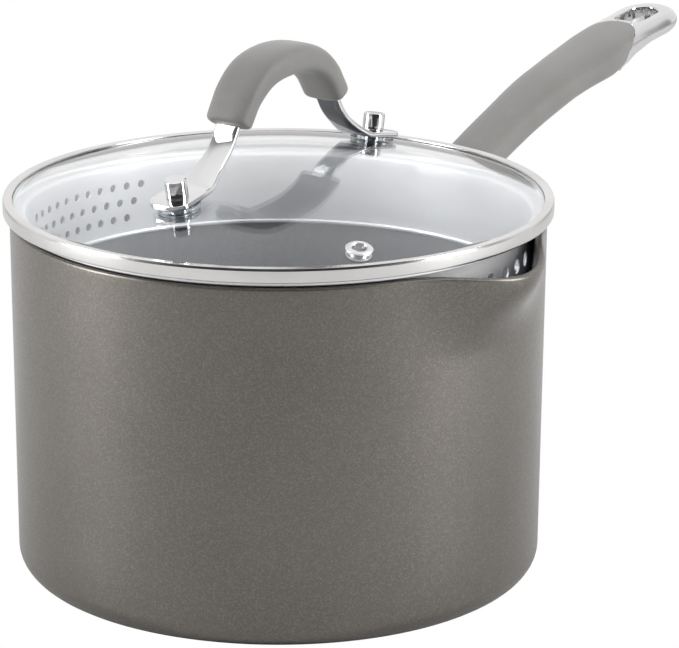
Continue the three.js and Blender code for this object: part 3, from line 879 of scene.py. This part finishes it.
def straining_band():
    inner = BAND_R - BAND_SHEET
    flange_top = BAND_REST_Z + BAND_SHEET
    collar_top = RING_BOTTOM_Z - GAP
    outline = rounded([
        (inner, BAND_BOTTOM_Z + 1.4, 0.3),
        (inner - 0.55, BAND_BOTTOM_Z + 1.1, 0.4),
        (inner - 0.55, BAND_BOTTOM_Z, 0.5),
        (BAND_R + 0.4, BAND_BOTTOM_Z, 0.5),
        (BAND_R + 0.4, BAND_BOTTOM_Z + 1.1, 0.4),
        (BAND_R, BAND_BOTTOM_Z + 1.5, 0.3),
        (BAND_R, BAND_REST_Z, 1.2),
        (BAND_COLLAR_R, BAND_REST_Z, 0.3),
        (BAND_COLLAR_R, collar_top, 0.15),
        (BAND_COLLAR_R - BAND_SHEET, collar_top, 0.15),
        (BAND_COLLAR_R - BAND_SHEET, flange_top, 0.2),
        (inner, flange_top, 1.6),
    ], 5)
    outline = divided(outline, 3)
    start = math.degrees(LID_TURN)
    angles = [math.radians(start + a) for a in (-0.05, 0, 0.7, 1.5)]
    angles += [math.radians(start + a) for a in np.linspace(2.5, 358.5, 238)]
    made = mesh_object("skirt", spun(outline, angles, seam_warp))
    fine = hole_pins(FINE_ROWS, FINE_HOLE_R, FINE_PITCH, FINE_MIDDLE)
    coarse = hole_pins(COARSE_ROWS, COARSE_HOLE_R, COARSE_PITCH, COARSE_MIDDLE)
    combine(made, mesh_object("fine", fine), "DIFFERENCE")
    combine(made, mesh_object("coarse", coarse), "DIFFERENCE")
    return piece(made, "lid", ["straining_band"], "band", band_steel, sharp=30)


def vent_eyelet():
    tube = VENT_HOLE_R + 0.4
    under = -GLASS_THICK - GAP
    outline = rounded([
        (VENT_HOLE_R, under - 0.5, 0.1),
        (VENT_FLANGE_R - 0.5, under - 0.5, 0.2),
        (VENT_FLANGE_R - 0.5, under, 0.1),
        (tube, under, 0),
        (tube, SEAT, 0),
        (VENT_FLANGE_R, SEAT, 0.1),
        (VENT_FLANGE_R - 0.9, SEAT + 0.7, 0.6),
        (VENT_HOLE_R, SEAT + 0.8, 0.7),
    ], 5)
    form = spun(outline, 64).placed(on_dome(VENT_R, VENT_ANGLE))
    return piece(mesh_object("vent", form), "lid", ["vent_eyelet"], "steel", vent_steel)


# Lid handle, laid out along X

STRAP_MID = SEAT + SPACER_THICK + SEAT + STRAP_THICK / 2


def on_stud_axis(height, beyond):
    reach = DOME_R + height
    return (
        reach * math.sin(STUD_TILT) + beyond * math.cos(STUD_TILT),
        DOME_APEX_Z - DOME_R + reach * math.cos(STUD_TILT) - beyond * math.sin(STUD_TILT),
    )


def arch():
    half = [on_stud_axis(STRAP_MID, beyond) for beyond in (14, 9, 4, 0, -4, -8, -10)] + ARCH_LINE
    mirrored = [(-x, z) for x, z in reversed(half)]
    return catmull_rom([*half, (0, ARCH_APEX_Z), *mirrored], 24)


def strap_half_width(x):
    """Half the strap's width at a distance x from the middle: narrow legs, wide rounded feet."""
    tip = on_stud_axis(STRAP_MID, 0)[0] + STRAP_TIP_PAST_STUD
    wide = lerp(STRAP_LEG_HALF_W, STRAP_FOOT_HALF_W, smoothstep(x, 33, 52))
    from_tip = min(max(tip - x, 0), STRAP_FOOT_CORNER)
    side = STRAP_FOOT_CORNER - math.sqrt(STRAP_FOOT_CORNER**2 - (STRAP_FOOT_CORNER - from_tip) ** 2)
    return wide - side


def strap():
    tip = on_stud_axis(STRAP_MID, 0)[0] + STRAP_TIP_PAST_STUD
    line = arch()
    line = Line(line[np.abs(line[:, 0]) <= tip])
    # Rings stand closer together at the ends, where the feet round off.
    even = np.linspace(0, 1, 150)
    crowded = np.concatenate([[0, 0.0006, 0.0018, 0.004, 0.0065, 0.01, 0.014, 0.019, 0.025], even])
    stops = np.unique(np.concatenate([crowded, 1 - crowded]))
    rings = []
    for share in stops:
        x, z, slope = line.at(share * line.length)
        section = bar_section(strap_half_width(abs(x)), STRAP_THICK / 2, STRAP_EDGE, 4)
        rings.append([
            (x - up * math.sin(slope), across, z + up * math.cos(slope)) for across, up in section
        ])
    form = lofted(rings).placed(turned(LID_TURN))
    made = mesh_object("lid_handle_steel", form)
    return piece(made, "lid", ["lid_handle_strap"], "steel", strap_steel, sharp=50)


def sleeve():
    line = arch()
    keep = (np.abs(line[:, 0]) <= SLEEVE_REACH_X) & (line[:, 1] > SLEEVE_BOTTOM_Z)
    line = Line(line[keep])
    sides = 64
    power = 0.62
    ends = [SLEEVE_EDGE * (1 - math.cos(a)) for a in np.linspace(0, math.pi / 2, 8)]
    body = np.linspace(SLEEVE_EDGE, line.length / 2, 40)[1:]
    half = [*ends, *body]
    stops = [*half, *(line.length - d for d in reversed(half[:-1]))]
    rings = []
    for distance in stops:
        x, z, slope = line.at(distance)
        to_end = min(distance, line.length - distance)
        from_edge = SLEEVE_EDGE - min(to_end, SLEEVE_EDGE)
        inset = SLEEVE_EDGE - math.sqrt(max(0, SLEEVE_EDGE**2 - from_edge**2))
        bulge = math.sin(math.pi * distance / line.length)
        wide = SLEEVE_HALF_W - 1 + bulge - inset
        flare = SLEEVE_FLARE * (1 - smoothstep(to_end, 2, 8))
        ring = []
        for k in range(sides):
            angle = TAU * k / sides
            across = squared(math.cos(angle), power) * wide
            up = squared(math.sin(angle), power)
            tall = SLEEVE_HALF_T - SLEEVE_TAPER * (1 - bulge) - inset + (flare if up < 0 else 0)
            ring.append((x - up * tall * math.sin(slope), across, z + up * tall * math.cos(slope)))
        rings.append(ring)
    form = lofted(rings).placed(turned(LID_TURN))
    made = mesh_object("lid_handle_grip_sleeve", form)
    return piece(made, "lid", ["lid_handle_grip"], "silicone", silicone, sharp=60)


def lid_stud(end, angle):
    low = SEAT + SPACER_THICK + SEAT + STRAP_THICK + SEAT
    top = low + STUD_HEAD_H
    tail = -GLASS_THICK - GAP - UNDER_WASHER_THICK - SEAT
    outline = rounded([
        (0, tail - STUD_TAIL_H, 0),
        (STUD_TAIL_R, tail - STUD_TAIL_H, 0.8),
        (STUD_TAIL_R, tail, 0.1),
        (STUD_SHANK_R, tail, 0),
        (STUD_SHANK_R, low, 0),
        (STUD_HEAD_R, low, 0.2),
        (STUD_HEAD_R, top - 0.3, 0.5),
        (STUD_HEAD_R - 0.6, top, 0.4),
        (0, top, 0),
    ], 5)
    form = spun(divided(outline, 1.5), 64).placed(on_dome(STUD_ARC_R, angle))
    made = mesh_object(f"stud_{end}", form)
    return piece(made, "lid", [f"lid_stud_{end}"], "steel", stud_steel)


def washer(name, node, outer, low, high, angle):
    """A clear plastic washer round a stud, between two heights above the glass."""
    inner = STUD_SHANK_R + SEAT
    outline = rounded([(inner, low, 0.2), (outer, low, 0.35), (outer, high, 0.35), (inner, high, 0.2)])
    form = spun(outline, 80).placed(on_dome(STUD_ARC_R, angle))
    return piece(mesh_object(name, form), "lid", [node], "clear", clear_plastic)


coating = flaked_paint()
lining = dark_lining()
handle_steel = polished_steel("handle_steel", 0.08, 0.14)
strap_steel = polished_steel("strap_steel", 0.03, 0.08)
stud_steel = polished_steel("stud_steel", 0.05, 0.1)
rivet_steel = polished_steel("rivet_steel", 0.08, 0.18)
vent_steel = polished_steel("vent_steel", 0.28, 0.4)
ring_steel = spun_steel("ring_steel", 0.14, 0.24, (0.66, 0.65, 0.64), (0.74, 0.73, 0.72), 0.05)
band_steel = spun_steel("band_steel", 0.40, 0.5, (0.83, 0.835, 0.85), (0.88, 0.885, 0.90), 0.02, 0.7)
silicone = soft_silicone()
glass = clear_glass("lid_glass", (0.965, 0.975, 0.985), 0.0, 8)
clear_plastic = clear_glass("clear_plastic", (0.80, 0.84, 0.88), 0.1, 120)

pot_shell()
handle_core()
handle_grip()
pan_rivet(1, "pan_rivet_left")
pan_rivet(-1, "pan_rivet_right")
rim_ring()
lid_glass()
straining_band()
vent_eyelet()
strap()
sleeve()
for end, angle in (("far", 0), ("near", math.pi)):
    lid_stud(end, angle)
    spacer_top = SEAT + SPACER_THICK
    washer(f"spacer_{end}", f"seat_washer_{end}", SPACER_R, SEAT, spacer_top, angle)
    under_top = -GLASS_THICK - GAP
    under_low = under_top - UNDER_WASHER_THICK
    washer(f"under_spacer_{end}", f"under_washer_{end}", UNDER_WASHER_R, under_low, under_top, angle)


# Camera, floor and light

CAMERA_AZIMUTH = math.radians(-52)
CAMERA_PITCH = math.radians(16.845)
CAMERA_AT = (-0.92998, -0.72658, 0.44098)
LENS = 192.6
SHIFT_X = 0.0899


def camera():
    data = bpy.data.cameras.new("camera")
    data.sensor_width = 36
    data.lens = LENS
    data.shift_x = SHIFT_X
    made = bpy.data.objects.new("camera", data)
    made.location = CAMERA_AT
    made.rotation_euler = (math.pi / 2 - CAMERA_PITCH, 0, CAMERA_AZIMUTH)
    bpy.context.scene.collection.objects.link(made)
    bpy.context.scene.camera = made


def floor():
    """A pale floor that meets the white surroundings without a seam."""
    reach, thick = 5000, 20
    form = spun([(0, 0), (reach, 0), (reach, -thick), (0, -thick)], 96)
    made = mesh_object("floor", form)
    made.location.z = -0.0002
    s = Surface("floor", Base_Color=(0.62, 0.62, 0.62, 1), Roughness=0.7)
    glow = s.feed(s.node("ShaderNodeEmission"), Color=(1, 1, 1, 1), Strength=1.0)
    path = s.node("ShaderNodeLightPath")
    mix = s.feed(s.node("ShaderNodeMixShader"), _0=path.outputs["Is Camera Ray"])
    s.feed(mix, _1=s.shader.outputs[0], _2=glow.outputs[0])
    s.feed(s.tree.nodes["Material Output"], Surface=mix.outputs[0])
    made.data.materials.append(s.material)


def grey_ramp(tree, value, low, levels):
    """Greys read from (position, level) rows, for a value that runs from low to 1."""
    share = tree.nodes.new("ShaderNodeMapRange")
    share.inputs["From Min"].default_value = low
    tree.links.new(value, share.inputs["Value"])
    ramp = tree.nodes.new("ShaderNodeValToRGB")
    ramp.color_ramp.interpolation = "EASE"
    ramp.color_ramp.elements[0].color = (*[levels[0][1]] * 3, 1)
    ramp.color_ramp.elements[1].color = (*[levels[-1][1]] * 3, 1)
    for position, level in levels[1:-1]:
        ramp.color_ramp.elements.new(position).color = (level, level, level, 1)
    tree.links.new(share.outputs["Result"], ramp.inputs["Fac"])
    return ramp.outputs["Color"]


def studio():
    """White background, a dark room toward the camera, and a bright ceiling.

    What the camera sees directly is white. Reflections see the room and the ceiling.
    """
    world = bpy.data.worlds.new("studio")
    world.use_nodes = True
    tree = world.node_tree
    place = tree.nodes.new("ShaderNodeTexCoord")
    toward = tree.nodes.new("ShaderNodeVectorMath")
    toward.operation = "DOT_PRODUCT"
    toward.inputs[1].default_value = (math.sin(CAMERA_AZIMUTH), -math.cos(CAMERA_AZIMUTH), 0)
    tree.links.new(place.outputs["Generated"], toward.inputs[0])
    levels_around = [(0, 1), (0.30, 0.9), (0.46, 0.35), (0.60, 0.08), (1, 0.04)]
    around = grey_ramp(tree, toward.outputs["Value"], -1, levels_around)
    height = tree.nodes.new("ShaderNodeSeparateXYZ")
    tree.links.new(place.outputs["Generated"], height.inputs[0])
    levels_up = [(0, 0), (0.58, 0.0), (0.8, 0.95), (1, 1.15)]
    ceiling = grey_ramp(tree, height.outputs["Z"], 0, levels_up)
    over = tree.nodes.new("ShaderNodeMix")
    over.data_type = "RGBA"
    over.blend_type = "LIGHTEN"
    over.inputs[0].default_value = 1
    tree.links.new(around, over.inputs[6])
    tree.links.new(ceiling, over.inputs[7])
    pick = tree.nodes.new("ShaderNodeMix")
    pick.data_type = "RGBA"
    path = tree.nodes.new("ShaderNodeLightPath")
    tree.links.new(path.outputs["Is Camera Ray"], pick.inputs[0])
    tree.links.new(over.outputs[2], pick.inputs[6])
    pick.inputs[7].default_value = (1, 1, 1, 1)
    tree.links.new(pick.outputs[2], tree.nodes["Background"].inputs["Color"])
    bpy.context.scene.world = world


def soft_box(name, bearing, height, distance, width, tall, power):
    """An area light that faces the pot, at a bearing in degrees to the right of the camera's."""
    data = bpy.data.lights.new(name, "AREA")
    data.shape = "RECTANGLE"
    data.size = width
    data.size_y = tall
    data.energy = power
    made = bpy.data.objects.new(name, data)
    angle = CAMERA_AZIMUTH + math.radians(bearing)
    made.location = (math.sin(angle) * distance, -math.cos(angle) * distance, height)
    aim = Vector((0, 0, 0.08)) - made.location
    made.rotation_euler = aim.to_track_quat("-Z", "Y").to_euler()
    bpy.context.scene.collection.objects.link(made)


camera()
floor()
studio()
soft_box("left_box", -80, 0.45, 1.3, 0.4, 1.3, 19)
soft_box("right_box", 72, 0.5, 1.3, 0.36, 1.4, 20)
bpy.context.scene.view_settings.view_transform = "Standard"
